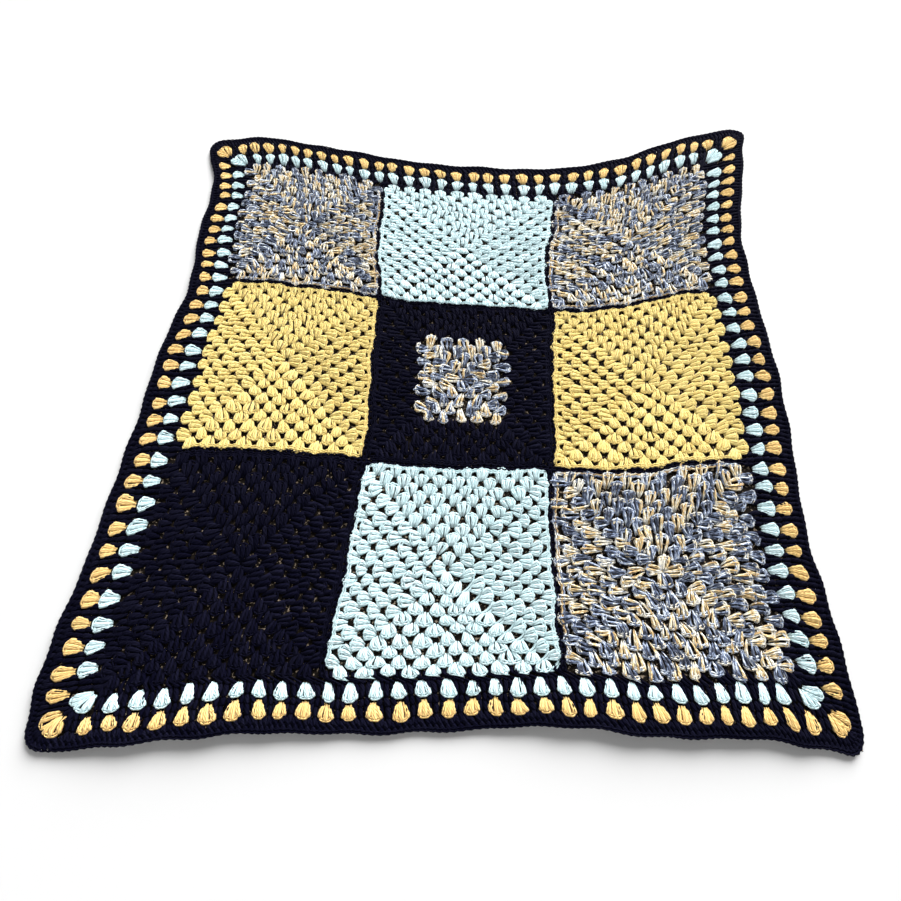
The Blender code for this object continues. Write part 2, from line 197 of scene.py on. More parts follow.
# Form of the posts: the stitches of a cluster from its middle one, how late
# they spread, the share of their length in which they rise, and how much the
# middle one stands out and the others drop, in millimetres
STITCH_SIDES = (-1.0, 0.0, 1.0)
STITCHES = len(STITCH_SIDES)
LATE_SPREAD = 1.2
RISE_TO = 0.75
MIDDLE_RISE = 0.25
OUTER_DROP = 0.45

# Roll of a post's section along it and from post to post, in radians
PLAIN_ROLL = (0.5, 0.12)
MIXED_ROLL = (1.7, 0.50)

# Clusters at the corners of the squares
CORNER_LEAN = 0.10           # the feet at a square's corner stand outwards
CORNER_PARTING = 0.13        # and the clusters stand back from an open corner

# One row per wave of the rows: turns along and across to the pitch, start and
# height
WaveRow = namedtuple("WaveRow", "along across start height")
WAVE_ROWS = (
    WaveRow(0.31, 0.12, 0.10, 0.045),
    WaveRow(-0.17, 0.39, 0.55, 0.040),
    WaveRow(0.52, -0.28, 0.80, 0.025),
)
OTHER_WAVE_START = 0.37      # of the same waves in the other direction

# One cluster that turns a border corner stands further in and is wider. A pair
# lean together: their feet and tops move outwards and they are wider
CORNER_TURN_INSET = 0.25
CORNER_TURN_WIDE = 1.4
CornerPair = namedtuple("CornerPair", "foot top wide")
CORNER_PAIR = CornerPair(0.04, 0.32, 1.15)

# Loops over a cluster's top, in pitches and millimetres
Chain = namedtuple("Chain", "half_width near far crown height out links")
TOP_CHAIN = Chain(0.315, 0.030, 0.072, 0.13, 3.9, 0.03, 3)
DROP_CHAIN = Chain(0.240, 0.025, 0.060, 0.10, 4.0, 0.00, 2)
MIXED_CHAIN_SIZE = 1.3       # against the section of the chains' strands
CHAIN_STATIONS = 10
DARK_CHAIN_STATIONS = 5
CHAIN_STAGGER = 0.2          # one strand lies above the other where they meet
CHAIN_DROP = 0.7             # the ends of the loops lie lower

# Loops over an open corner, in pitches, with the height in metres
CornerLoop = namedtuple("CornerLoop", "past out bulge apart closing height size")
CORNER_LOOP = CornerLoop(0.20, 0.05, 0.12, 0.045, 0.02, 0.0016, 1.25)

# Chain along a square's joined side, in pitches, with the height in metres
SIDE_LINK = 0.32
SIDE_START = 0.05            # it starts so far from a corner at a join
SIDE_CUT = 0.75              # and so far from one at the border
SIDE_INSET = 0.07
SIDE_APART = 0.05
SIDE_SWAY = (0.0, 0.035, -0.015)
SIDE_HEIGHT = 0.0039
SIDE_SIZE = 1.05

# The joins' chains and the short stitches under them, in the same units
JOIN_LINK = JOIN_WIDTH * 0.95
JOIN_END = 0.1
JOIN_APART = 0.07
JOIN_SWAY = (0.0, 0.05, -0.02)
JOIN_HEIGHT = 0.0041
JOIN_SIZE = 1.1
STITCH_REACH = 0.17
STITCH_SLANT = 0.05
STITCH_HEIGHT = 0.0022
STITCH_DROP = 0.0002

# Yarn: twist, fibres and streaks of colour
FIBRE_SCALE = 900.0          # fibres to the metre
STREAKS_AROUND = 2.6         # streaks of colour round a strand of mixed yarn,
STREAKS_ALONG = 3.2          # along one pitch of it,
STREAK_TWIST = 2.6           # their turns there
STREAK_STEP = 61.0           # and how unlike they are from strand to strand
PLY_STARTS = 4               # twist lines round a strand
PLY_TURNS = 6                # and along one pitch of it
PLY_DEPTH = 0.0004           # in metres
FIBRE_FLECK = 0.10           # how much the fibres change the shade
FIBRE_DEPTH = 1.2            # against the depth of the twist lines
BUMP_STRENGTH = 0.6
YARN_ROUGHNESS = 0.9
SHEEN_ROUGHNESS = 0.5
DRIFT = 0.1                  # change of shade along one pitch of a strand
# Painted shade: lines round a strand where its colour is darkened
GROOVE_SHADE_LINES = 3                  # a strand's two sides and the groove between its plies

# Painted shade of each yarn: the colour its strands are darkened to at their sides and in the groove
# between their plies
DARK_GROOVE_SHADE = (0.0005, 0.0005, 0.0030)
BLUE_GROOVE_SHADE = (0.20, 0.36, 0.39)
YELLOW_GROOVE_SHADE = (0.50, 0.25, 0.035)
BORDER_YELLOW_GROOVE_SHADE = (0.48, 0.20, 0.05)
MIXED_GROOVE_SHADE = (0.030, 0.032, 0.046)


def there_and_back(low, high):
    """Stops of a colour that goes from one shade to another and back."""
    return ((0.0, low), (0.5, high), (1.0, low))


DARK_STOPS = there_and_back((0.0010, 0.0010, 0.0075), (0.0050, 0.0050, 0.0150))
BLUE_STOPS = there_and_back((0.63, 0.83, 0.86), (0.72, 0.89, 0.92))
YELLOW_STOPS = there_and_back((0.83, 0.65, 0.22), (0.88, 0.73, 0.28))
BORDER_YELLOW_STOPS = there_and_back((0.83, 0.57, 0.21), (0.91, 0.65, 0.26))

# Shades of the mixed yarn, the share of them, and their places on its ring
GOLD = (0.62, 0.40, 0.17)
CREAM_GOLD = (0.86, 0.67, 0.34)
PALE_CREAM = (0.96, 0.92, 0.80)
BROWN = (0.30, 0.19, 0.08)
PALE_BLUE = (0.86, 0.92, 0.97)
PERIWINKLE = (0.36, 0.44, 0.62)
SLATE = (0.13, 0.17, 0.27)
DARK_SLATE = (0.035, 0.043, 0.070)
CREAM_SHARE = 0.40           # of the mixed clusters that are cream
STRAY_SHARE = 0.15           # of their strands that are of the other shades
CREAM_SHADES = (0.00, 0.12)
BLUE_SHADES = (0.56, 0.70)
# Painted highlight: the chains over the tops of the mixed clusters are shifted towards the pale shades,
# as lit from above
CHAIN_HIGHLIGHT_SHIFT = -0.07          # the chains are nearer to the pale shades
SIDE_SHADES = (0.03, 0.60)   # of the two strands along a side
MIXED_STOPS = (
    (0.00, PALE_CREAM),
    (0.13, PALE_CREAM),
    (0.21, CREAM_GOLD),
    (0.31, GOLD),
    (0.40, BROWN),
    (0.47, GOLD),
    (0.51, PALE_BLUE),
    (0.62, PALE_BLUE),
    (0.69, PERIWINKLE),
    (0.76, SLATE),
    (0.85, DARK_SLATE),
    (0.94, DARK_SLATE),
    (0.98, PERIWINKLE),
    (1.00, PALE_CREAM),
)

# One row per yarn: its colours, its painted groove shade and how strongly that is painted, how strong
# its streaks of colour are, its sheen and its gloss
YarnLook = namedtuple("YarnLook", "name stops deep crevice streaks sheen gloss")
YARN_LOOKS = (
    YarnLook("yarn_dark", DARK_STOPS, DARK_GROOVE_SHADE, 0.6, 0.0, 0.0, 0.05),
    YarnLook("yarn_light_blue", BLUE_STOPS, BLUE_GROOVE_SHADE, 0.6, 0.0, 0.15, 0.2),
    YarnLook("yarn_yellow", YELLOW_STOPS, YELLOW_GROOVE_SHADE, 0.6, 0.0, 0.15, 0.2),
    YarnLook("yarn_border_yellow", BORDER_YELLOW_STOPS, BORDER_YELLOW_GROOVE_SHADE, 0.6, 0.0, 0.15, 0.2),
    YarnLook("yarn_mixed", MIXED_STOPS, MIXED_GROOVE_SHADE, 0.7, 0.9, 0.15, 0.2),
)


def smooth_blend(before, here, after, beyond, part):
    """Read a smooth curve through four even values between the middle two."""
    square = part * part
    cube = square * part
    return (
        here * (2 * cube - 3 * square + 1)
        + (after - before) / 2 * (cube - 2 * square + part)
        + after * (3 * square - 2 * cube)
        + (beyond - here) / 2 * (cube - square)
    )


def smooth_read(values, place):
    """Read a row of evenly spaced values at places 0 to 1 on a smooth curve."""
    values = np.asarray(values, float)
    row = np.concatenate(([2 * values[0] - values[1]], values, [2 * values[-1] - values[-2]]))
    spans = len(values) - 1
    along = np.clip(place, 0.0, 1.0) * spans
    index = np.minimum(along.astype(int), spans - 1)
    near = [row[index + step] for step in range(4)]
    return smooth_blend(*near, along - index)


def edge_read(column, place):
    """Read one named column of the edge table, in metres."""
    return smooth_read([getattr(row, column) for row in EDGE_ROWS], place) / 1000


def mix(low, high, part):
    return low * (1 - part) + high * part


def edge_move(side, place):
    """Plan movement of the cloth's edge at places 0 to 1 along one side."""
    out = edge_read(side + "_out", place)
    slide = edge_read(side + "_slide", place)
    return {
        "near": (slide, -out),
        "far": (slide, out),
        "right": (out, slide),
        "left": (-out, slide),
    }[side]


def plan_move(across, along):
    """Blend the movements of the four edges at places of the cloth."""
    near = edge_move("near", across)
    far = edge_move("far", across)
    left = edge_move("left", along)
    right = edge_move("right", along)
    ends = np.array([0.0, 1.0])
    near_ends = edge_move("near", ends)
    far_ends = edge_move("far", ends)
    moved = []
    for axis in (0, 1):
        corners = mix(mix(*near_ends[axis], across), mix(*far_ends[axis], across), along)
        edges = mix(near[axis], far[axis], along) + mix(left[axis], right[axis], across)
        moved.append(edges - corners)
    return moved


def edge_lift(u, v, across, along):
    """Height of the underside, which is lifted only near the edges."""
    half = CLOTH_HALF * CLUSTER_PITCH
    reach = LIFT_REACH * CLUSTER_PITCH
    total = np.zeros_like(u)
    weights = np.zeros_like(u)
    for side, place, inside in (
        ("near", across, v + half),
        ("far", across, half - v),
        ("left", along, u + half),
        ("right", along, half - u),
    ):
        fade = np.cos(math.pi * np.clip(inside, 0.0, reach) / reach)
        weight = np.where(inside < reach, (1 + fade) / 2, 0.0)
        total += edge_read(side + "_lift", place) * weight * weight
        weights += weight
    return np.where(weights > 0, total / np.maximum(weights, 1e-9), 0.0)


def lay(u, v, w):
    """Carry points of the worked cloth to where they lie."""
    half = CLOTH_HALF * CLUSTER_PITCH
    across = (u + half) / (2 * half)
    along = (v + half) / (2 * half)
    move_x, move_y = plan_move(across, along)
    return np.stack([u + move_x, v + move_y, w + edge_lift(u, v, across, along)], -1)


def join_slide(u, v):
    """Sideways slide of the squares, which fades out in the first border round."""
    squares = len(JOIN_ROWS) - 1
    block = JOIN_ROWS[-1].line * CLUSTER_PITCH
    along = (v + block) / (2 * block)
    left = smooth_read([row.left_join for row in JOIN_ROWS], along) / 1000
    right = smooth_read([row.right_join for row in JOIN_ROWS], along) / 1000
    place = np.clip((u + block) / (2 * block), 0.0, 1.0) * squares
    index = np.minimum(place.astype(int), squares - 1)
    nothing = np.zeros_like(left)
    rows = np.stack([-left, nothing, left, right, nothing, -right])
    near = [np.take_along_axis(rows, (index + step)[None], 0)[0] for step in range(4)]
    slide = smooth_blend(*near, place - index)
    reach = np.maximum(np.abs(u), np.abs(v)) / CLUSTER_PITCH
    share = np.clip((SLIDE_NONE_FROM - reach) / (SLIDE_NONE_FROM - SLIDE_FULL_TO), 0.0, 1.0)
    return slide * share


def outline_middle():
    """Middle of the laid cloth's bounding rectangle."""
    places = [place for quarter in range(4) for place in turned_edge(quarter)]
    u, v = np.array(places).T * CLUSTER_PITCH
    laid = lay(u, v, np.zeros_like(u))
    return (laid.min(0) + laid.max(0))[:2] / 2


def corner_point(centre_across, step):
    """A point on a corner's arc, so many steps from where its side is straight."""
    angle = step * math.pi / (4 * CORNER_ARC_STEPS)
    across = centre_across + CORNER_RADIUS * math.sin(angle)
    return (across, CLOTH_HALF - CORNER_RADIUS + CORNER_RADIUS * math.cos(angle))


def turned_edge(quarter):
    """Points of one side of the cloth's outer edge, in pitches."""
    centre = CLOTH_HALF - CORNER_RADIUS
    straight = range(-EDGE_STATIONS_TO, EDGE_STATIONS_TO + 1, EDGE_STATION)
    side = [corner_point(-centre, step) for step in range(-CORNER_ARC_STEPS, 1)]
    side += [(across, CLOTH_HALF) for across in straight]
    side += [corner_point(centre, step) for step in range(CORNER_ARC_STEPS)]
    return [turn(across, -out, quarter) for across, out in side]


def turn(u, v, quarters):
    """Turn places about the middle by quarter turns, all alike or each its own."""
    cos = np.array([1, 0, -1, 0])[quarters]
    sin = np.array([0, 1, 0, -1])[quarters]
    return u * cos - v * sin, u * sin + v * cos


def wave(u, v, turned):
    """How far the rows wave at places of the cloth, in metres."""
    total = np.zeros_like(u)
    for row in WAVE_ROWS:
        turns = (row.along * u + row.across * v) / CLUSTER_PITCH + row.start + turned
        total += row.height * np.sin(turns * 2 * math.pi)
    return total * CLUSTER_PITCH


def cloth_points(u, v, height, centre=(0.0, 0.0)):
    """Points at places in pitches from a centre, with heights in metres."""
    heights = np.broadcast_to(height, u.shape)
    return np.stack([(u + centre[0]) * CLUSTER_PITCH, (v + centre[1]) * CLUSTER_PITCH, heights], -1)


def repeated(row, count):
    """A short row of numbers, repeated up to a count."""
    return np.tile(row, count // len(row) + 1)[:count]


def add_object(name, data):
    """Put a mesh, a camera or a light in the scene as an object."""
    made = bpy.data.objects.new(name, data)
    bpy.context.scene.collection.objects.link(made)
    return made


# The laid cloth is moved so that its middle is at the origin
SHIFT = outline_middle()


class YarnPile:
    """Strands of one piece, gathered as arrays before the mesh is made."""

    def __init__(self, name):
        self.name = name
        self.random = np.random.default_rng([SEED, *name.encode()])
        self.places = []
        self.loops = []
        self.sizes = []
        self.around = []
        self.along = []
        self.tints = []
        self.count = 0

    def add(self, paths, section, size=1.0, roll=0.0, tip=0.45, tints=None):
        """Sweep a section along each path of an array (strands, stations, 3)."""
        strands, stations, _ = paths.shape
        corners = len(section)
        step = np.gradient(paths, axis=1)
        length = np.maximum(np.linalg.norm(step, axis=-1, keepdims=True), 1e-9)
        forward = step / length
        side = np.stack([-forward[..., 1], forward[..., 0], np.zeros((strands, stations))], -1)
        side /= np.maximum(np.linalg.norm(side, axis=-1, keepdims=True), 1e-9)
        normal = np.cross(forward, side)
        scale = np.ones((strands, stations)) * size
        scale[:, 0] *= tip
        scale[:, -1] *= tip
        roll = np.broadcast_to(roll, (strands, stations))
        profile = np.array(section) / 1000
        cos = np.cos(roll)[..., None] * scale[..., None]
        sin = np.sin(roll)[..., None] * scale[..., None]
        x = profile[:, 0] * cos - profile[:, 1] * sin
        y = profile[:, 0] * sin + profile[:, 1] * cos
        rings = paths[:, :, None] + side[:, :, None] * x[..., None] + normal[:, :, None] * y[..., None]

        first = self.count + np.arange(strands * stations * corners).reshape(strands, stations, corners)
        near = first[:, :-1]
        far = first[:, 1:]
        quads = np.stack([near, np.roll(near, -1, 2), np.roll(far, -1, 2), far], -1)
        distance = np.cumsum(length[..., 0], axis=1)
        ring_near = np.broadcast_to(distance[:, :-1, None], near.shape)
        ring_far = np.broadcast_to(distance[:, 1:, None], near.shape)
        place = np.broadcast_to(np.arange(corners) / corners, near.shape)
        after = place + 1 / corners
        self.loops.append(quads.reshape(-1))
        self.sizes.append(np.full(quads.size // 4, 4))
        self.around.append(np.stack([place, after, after, place], -1).reshape(-1))
        self.along.append(np.stack([ring_near, ring_near, ring_far, ring_far], -1).reshape(-1))
        for ring, backwards in ((first[:, 0], True), (first[:, -1], False)):
            cap = ring[:, ::-1] if backwards else ring
            self.loops.append(cap.reshape(-1))
            self.sizes.append(np.full(strands, corners))
            self.around.append(np.tile(np.arange(corners) / corners, strands))
            end = distance[:, 0] if backwards else distance[:, -1]
            self.along.append(np.repeat(end, corners))
        self.places.append(rings.reshape(-1, 3))
        shade = self.random.random(strands) if tints is None else tints
        self.tints.append(np.repeat(shade, stations * corners))
        self.count += strands * stations * corners

    def make(self, material):
        """Carry all places to the laid cloth and make one mesh object."""
        u, v, w = np.concatenate(self.places).T
        u = u + join_slide(u, v)
        places = lay(u + wave(u, v, 0.0), v + wave(v, u, OTHER_WAVE_START), w)
        places[:, :2] -= SHIFT
        loops = np.concatenate(self.loops)
        sizes = np.concatenate(self.sizes)
        mesh = bpy.data.meshes.new(self.name)
        mesh.vertices.add(len(places))
        mesh.vertices.foreach_set("co", places.astype(np.float32).ravel())
        mesh.loops.add(len(loops))
        mesh.loops.foreach_set("vertex_index", loops.astype(np.int32))
        mesh.polygons.add(len(sizes))
        starts = np.concatenate(([0], np.cumsum(sizes)[:-1]))
        mesh.polygons.foreach_set("loop_start", starts.astype(np.int32))
        mesh.polygons.foreach_set("use_smooth", np.ones(len(sizes), bool))
        mesh.update(calc_edges=True)
        layer = mesh.uv_layers.new(name="strand")
        uv = np.stack([np.concatenate(self.around), np.concatenate(self.along) / CLUSTER_PITCH], -1)
        layer.data.foreach_set("uv", uv.astype(np.float32).ravel())
        tint = mesh.attributes.new("tint", "FLOAT", "POINT")
        tint.data.foreach_set("value", np.concatenate(self.tints).astype(np.float32))
        mesh.materials.append(material)
        return add_object(self.name, mesh)


Clusters = namedtuple("Clusters", "foot_across foot_out top_across top_out wide quarter")


def clusters_from(rows):
    """Turn rows of places, a width and a quarter, one row a cluster, to arrays."""
    table = np.array(rows, float)
    return Clusters(*table[:, :5].T, table[:, 5].astype(int))


def round_line(number):
    """Distance from a square's middle to the top of a round, in pitches."""
    return FIRST_ROUND_START + ROUND_HEIGHT * number


def square_clusters(numbers, open_corners=()):
    """Clusters of the given rounds of a square, which part at its open corners."""
    rows = []
    for quarter in range(4):
        parts_after = quarter in open_corners
        parts_before = (quarter - 1) % 4 in open_corners
        for number in numbers:
            half = max(number - 1, 1) / 2 * CLUSTER_STEP
            for index in range(number):
                top = (index - (number - 1) / 2) * CLUSTER_STEP
                foot = top
                if number > 1 and index in (0, number - 1):
                    foot += math.copysign(CORNER_LEAN, top)
                parting = CORNER_PARTING * (top / half) ** 2
                if top > 0 and parts_after:
                    top -= parting
                    foot -= parting
                if top < 0 and parts_before:
                    top += parting
                    foot += parting
                rows.append((foot, round_line(number - 1), top, round_line(number), 1.0, quarter))
    return clusters_from(rows)


def border_clusters(count, foot, top, corner):
    """Clusters of a border row, of which one, a pair or none turns each corner."""
    rows = []
    for quarter in range(4):
        for index in range(count):
            across = index - (count - 1) / 2
            if corner == "pair" and index in (0, count - 1):
                foot_across = across + math.copysign(CORNER_PAIR.foot, across)
                top_across = across + math.copysign(CORNER_PAIR.top, across)
                rows.append((foot_across, foot, top_across, top, CORNER_PAIR.wide, quarter))
            else:
                rows.append((across, foot, across, top, 1.0, quarter))
        if corner == "one":
            turn_foot = foot - CORNER_TURN_INSET
            turn_top = top - CORNER_TURN_INSET
            rows.append((turn_foot, turn_foot, turn_top, turn_top, CORNER_TURN_WIDE, quarter))
    return clusters_from(rows)


def wandered(clusters, random, jitter):
    """The same clusters with the unevenness of hand work."""
    count = len(clusters.quarter)
    return clusters._replace(
        foot_across=clusters.foot_across + random.normal(0, jitter * CLUSTER_FOOT_SHARE, count),
        top_across=clusters.top_across + random.normal(0, jitter * CLUSTER_TOP_SHARE, count),
        top_out=clusters.top_out + random.normal(0, jitter, count),
        wide=clusters.wide * (1 + random.normal(0, WIDTH_WANDER, count)),
    )


def post_paths(clusters, shape, centre, random, stations, jitter):
    """Three strands to a cluster, from its foot to its top."""
    count = len(clusters.quarter)
    part = np.array(stations)[None, None]
    offset = np.array(STITCH_SIDES)[None, :, None] * clusters.wide[:, None, None]
    wobble = random.normal(0, jitter * STITCH_SHARE, (5, count, STITCHES, 1))
    foot_x = clusters.foot_across[:, None, None] + offset * shape.foot_spread + wobble[0] * FOOT_SHARE
    top_x = clusters.top_across[:, None, None] + offset * shape.top_spread + wobble[1] * TOP_SHARE
    foot_y = clusters.foot_out[:, None, None] + shape.foot_in + wobble[2]
    top_y = clusters.top_out[:, None, None] + shape.top_out - shape.arch * np.abs(offset) + wobble[3]
    across = foot_x + (top_x - foot_x) * np.sin(part * math.pi / 2) ** LATE_SPREAD
    across = across + wobble[4] * np.sin(part * math.pi)
    out = foot_y + (top_y - foot_y) * part
    rise = np.sin(np.minimum(part / RISE_TO, 1.0) * math.pi / 2)
    height = shape.foot_z + (shape.top_z - shape.foot_z) * rise
    height = height + MIDDLE_RISE - OUTER_DROP * np.abs(offset)
    height = height + random.normal(0, HEIGHT_WANDER, (count, STITCHES, 1))
    total = count * STITCHES
    quarters = np.repeat(clusters.quarter, STITCHES)[:, None]
    u, v = turn(across.reshape(total, -1), -out.reshape(total, -1), quarters)
    return cloth_points(u, v, height.reshape(total, -1) / 1000, centre)


def chain_paths(clusters, chain, centre, stations):
    """Two strands over a cluster's top that open and close in small links."""
    part = np.linspace(-1, 1, stations)[None]
    paths = []
    for side in (-1, 1):
        across = clusters.top_across[:, None] + part * chain.half_width * clusters.wide[:, None]
        opening = np.abs(np.sin((part + 1) / 2 * chain.links * math.pi))
        apart = chain.near + (chain.far - chain.near) * opening
        out = clusters.top_out[:, None] + chain.out + side * apart - chain.crown * part * part
        u, v = turn(across, -out, clusters.quarter[:, None])
        height = chain.height + side * CHAIN_STAGGER * (1 - opening) - CHAIN_DROP * part * part
        paths.append(cloth_points(u, v, height / 1000, centre))
    return np.concatenate(paths)


def strand_tints(random, count, family_share):
    """Shades of three strands to a cluster, mostly of one family of shades."""
    strands = count * STITCHES
    if family_share is None:
        return random.random(strands)
    is_cream = np.repeat(random.random(count) < family_share, STITCHES)
    is_cream ^= random.random(strands) < STRAY_SHARE
    low = np.where(is_cream, CREAM_SHADES[0], BLUE_SHADES[0])
    high = np.where(is_cream, CREAM_SHADES[1], BLUE_SHADES[1])
    return low + (high - low) * random.random(strands)


def add_clusters(pile, clusters, shape, centre=(0.0, 0.0), dark=False, family_share=None):
    """Add the three posts of each cluster."""
    section = DARK_SECTION if dark else POST_SECTION
    stations = DARK_STATIONS if dark else POST_STATIONS
    jitter = STITCH_WANDER if family_share is None else MIXED_WANDER
    posts = post_paths(clusters, shape, centre, pile.random, stations, jitter)
    part = np.array(stations)[None]
    twist, unlike = PLAIN_ROLL if family_share is None else MIXED_ROLL
    roll = (part - 0.5) * twist + pile.random.normal(0, unlike, (len(posts), 1))
    grown = shape.foot_size + (shape.top_size - shape.foot_size) * np.sin(part * math.pi / 2)
    size = grown * (1 + pile.random.normal(0, SIZE_WANDER, (len(posts), 1)))
    tints = strand_tints(pile.random, len(clusters.quarter), family_share)
    pile.add(posts, section, size, roll, tip=0.55, tints=tints)


def add_chains(pile, clusters, centre=(0.0, 0.0), dark=False, family_share=None, chain=TOP_CHAIN):
    """Add the two strands of loops over each cluster's top."""
    stations = DARK_CHAIN_STATIONS if dark else CHAIN_STATIONS
    tints = strand_tints(pile.random, len(clusters.quarter), family_share)
    # Painted highlight: chains of mixed yarn are shifted towards its pale shades on the clusters' tops
    if family_share is not None:
        tints = tints + CHAIN_HIGHLIGHT_SHIFT
    both = tints.reshape(-1, STITCHES)[:, :2].T.reshape(-1)
    size = 1.0 if family_share is None else MIXED_CHAIN_SIZE
    paths = chain_paths(clusters, chain, centre, stations)
    pile.add(paths, CHAIN_SECTION, size, tip=0.6, tints=both)


def add_corner_loops(pile, centre, quarter, numbers):
    """The loops that each round makes over an open corner."""
    part = np.linspace(-1, 1, CORNER_STATIONS)
    for number in numbers:
        across = (number - 1) / 2 * CLUSTER_STEP - CORNER_PARTING + CORNER_LOOP.past
        out = round_line(number) + CORNER_LOOP.out
        middle = (across + out) / 2 + CORNER_LOOP.bulge * (1 - part * part)
        reach = part * (out - across) / 2
        for side in (-1, 1):
            apart = side * (CORNER_LOOP.apart - CORNER_LOOP.closing * part * part)
            u, v = turn(middle - reach + apart, -(middle + reach + apart), quarter)
            path = cloth_points(u, v, CORNER_LOOP.height, centre)
            pile.add(path[None], CHAIN_SECTION, CORNER_LOOP.size, tip=0.7)


def add_side_chain(pile, centre, quarter, starts_joined, ends_joined, mixed):
    """Two strands of loops along a square's straight side."""
    start = SIDE_START if starts_joined else SIDE_CUT
    end = SIDE_START if ends_joined else SIDE_CUT
    along = np.arange(-PANEL_HALF + start, PANEL_HALF - end, SIDE_LINK / LINK_STATIONS)
    sway = repeated(SIDE_SWAY, len(along))
    for side in (-1, 1):
        u, v = turn(along, -(PANEL_HALF - SIDE_INSET + side * SIDE_APART + sway), quarter)
        path = cloth_points(u, v, SIDE_HEIGHT, centre)
        tints = [SIDE_SHADES[side > 0]] if mixed else None
        pile.add(path[None], CHAIN_SECTION, MIXED_CHAIN_SIZE if mixed else SIDE_SIZE, tints=tints)


def edge_frame(reach, spacing, start):
    """Places and outward directions along a rounded square, in pitches."""
    radius = max(CORNER_RADIUS - (CLOTH_HALF - reach), LEAST_RADIUS)
    straight = 2 * (reach - radius)
    arc = radius * math.pi / 2
    side = straight + arc
    count = int(round(4 * side / spacing))
    distance = (np.arange(count) + start) * (4 * side / count)
    quarter = (distance // side).astype(int) % 4
    along = distance % side
    on_arc = along > straight
    angle = np.where(on_arc, (along - straight) / radius, 0.0)
    x = np.where(on_arc, reach - radius + radius * np.sin(angle), along - straight / 2)
    y = np.where(on_arc, -(reach - radius + radius * np.cos(angle)), -reach)
    places = np.stack(turn(x, y, quarter), -1)
    outward = np.stack(turn(np.sin(angle), -np.cos(angle), quarter), -1)
    return places, outward


def add_edging(pile, row):
    """A row of short firm stitches round the cloth."""
    places, outward = edge_frame(row.reach_to, row.spacing, row.start)
    part = np.linspace(0, 1, SHORT_STATIONS)
    depth = (row.reach_to - row.reach_from) * (1 - part)
    height = row.foot_z + (row.top_z - row.foot_z) * np.sin(part * math.pi)
    plan = places[:, None] - outward[:, None] * depth[None, :, None]
    sideways = np.stack([-outward[:, 1], outward[:, 0]], -1)[:, None]
    lean = sideways * (part[None, :, None] - 0.5) * EDGING_LEAN
    u, v = np.moveaxis(plan + lean, -1, 0)
    pile.add(cloth_points(u, v, height / 1000), DARK_SECTION, EDGING_SIZE, tip=0.7)


def add_edge_strand(pile, strand):
    """A swaying strand that runs right round the cloth's edge."""
    places, outward = edge_frame(strand.reach, strand.spacing / LINK_STATIONS, 0.0)
    sway = repeated((0.0, strand.sway, -strand.sway), len(places))
    u, v = (places + outward * sway[:, None]).T
    pile.add(cloth_points(u, v, strand.height / 1000)[None], strand.section, strand.size)


def add_join_lines(pile):
    """Chains of loops along the four joins, and their short stitches."""
    half = BLOCK_HALF - JOIN_END
    along = np.arange(-half, half, JOIN_LINK / LINK_STATIONS)
    sway = repeated(JOIN_SWAY, len(along))
    stitches = np.arange(-half, half, JOIN_LINK)
    part = np.linspace(-1, 1, SHORT_STATIONS)
    for quarter in range(2):
        for line in (-PANEL_STEP / 2, PANEL_STEP / 2):
            for side in (-1, 1):
                u, v = turn(line + side * (JOIN_APART + sway), along, quarter)
                pile.add(cloth_points(u, v, JOIN_HEIGHT)[None], CHAIN_SECTION, JOIN_SIZE)
            across = line + part[None] * STITCH_REACH + np.zeros((len(stitches), 1))
            slanted = stitches[:, None] + part[None] * STITCH_SLANT
            u, v = turn(across, slanted, quarter)
            paths = cloth_points(u, v, STITCH_HEIGHT - STITCH_DROP * part ** 2)
            pile.add(paths, DARK_SECTION, JOIN_SIZE, tip=0.7)


def new_material(name):
    material = bpy.data.materials.new(name)
    material.use_nodes = True
    return material, material.node_tree, material.node_tree.nodes["Principled BSDF"]


def math_node(tree, operation, first, second):
    """Link two inputs, sockets or numbers, to a maths node and return its output."""
    node = tree.nodes.new("ShaderNodeMath")
    node.operation = operation
    for socket, value in zip(node.inputs, (first, second)):
        if isinstance(value, bpy.types.NodeSocket):
            tree.links.new(value, socket)
        else:
            socket.default_value = value
    return node.outputs[0]


def object_noise(tree, scale):
    """A noise over the objects, with so many patches to the metre."""
    noise = tree.nodes.new("ShaderNodeTexNoise")
    noise.inputs["Scale"].default_value = scale
    coordinates = tree.nodes.new("ShaderNodeTexCoord")
    tree.links.new(coordinates.outputs["Object"], noise.inputs["Vector"])
    return noise


def colour_ramp(tree, stops, place):
    """Link a place from 0 to 1 to a ramp of colours and return its output."""
    ramp = tree.nodes.new("ShaderNodeValToRGB")
    elements = ramp.color_ramp.elements
    while len(elements) < len(stops):
        elements.new(1.0)
    for element, (position, colour) in zip(elements, stops):
        element.position = position
        element.color = (*colour, 1.0)
    tree.links.new(place, ramp.inputs["Fac"])
    return ramp.outputs["Color"]


def streak_shift(tree, around, along, tint, strength):
    """Change of shade in streaks that twist along a strand."""
    link = tree.links.new
    ply = math_node(tree, "MULTIPLY", around, STREAKS_AROUND)
    twist = math_node(tree, "MULTIPLY", along, STREAK_TWIST)
    joined = tree.nodes.new("ShaderNodeCombineXYZ")
    link(math_node(tree, "ADD", ply, twist), joined.inputs["X"])
    link(math_node(tree, "MULTIPLY", along, STREAKS_ALONG), joined.inputs["Y"])
    link(math_node(tree, "MULTIPLY", tint, STREAK_STEP), joined.inputs["Z"])
    patches = tree.nodes.new("ShaderNodeTexNoise")
    patches.inputs["Scale"].default_value = 1.0
    link(joined.outputs["Vector"], patches.inputs["Vector"])
    patch = math_node(tree, "SUBTRACT", patches.outputs["Fac"], 0.5)
    return math_node(tree, "MULTIPLY", patch, strength)


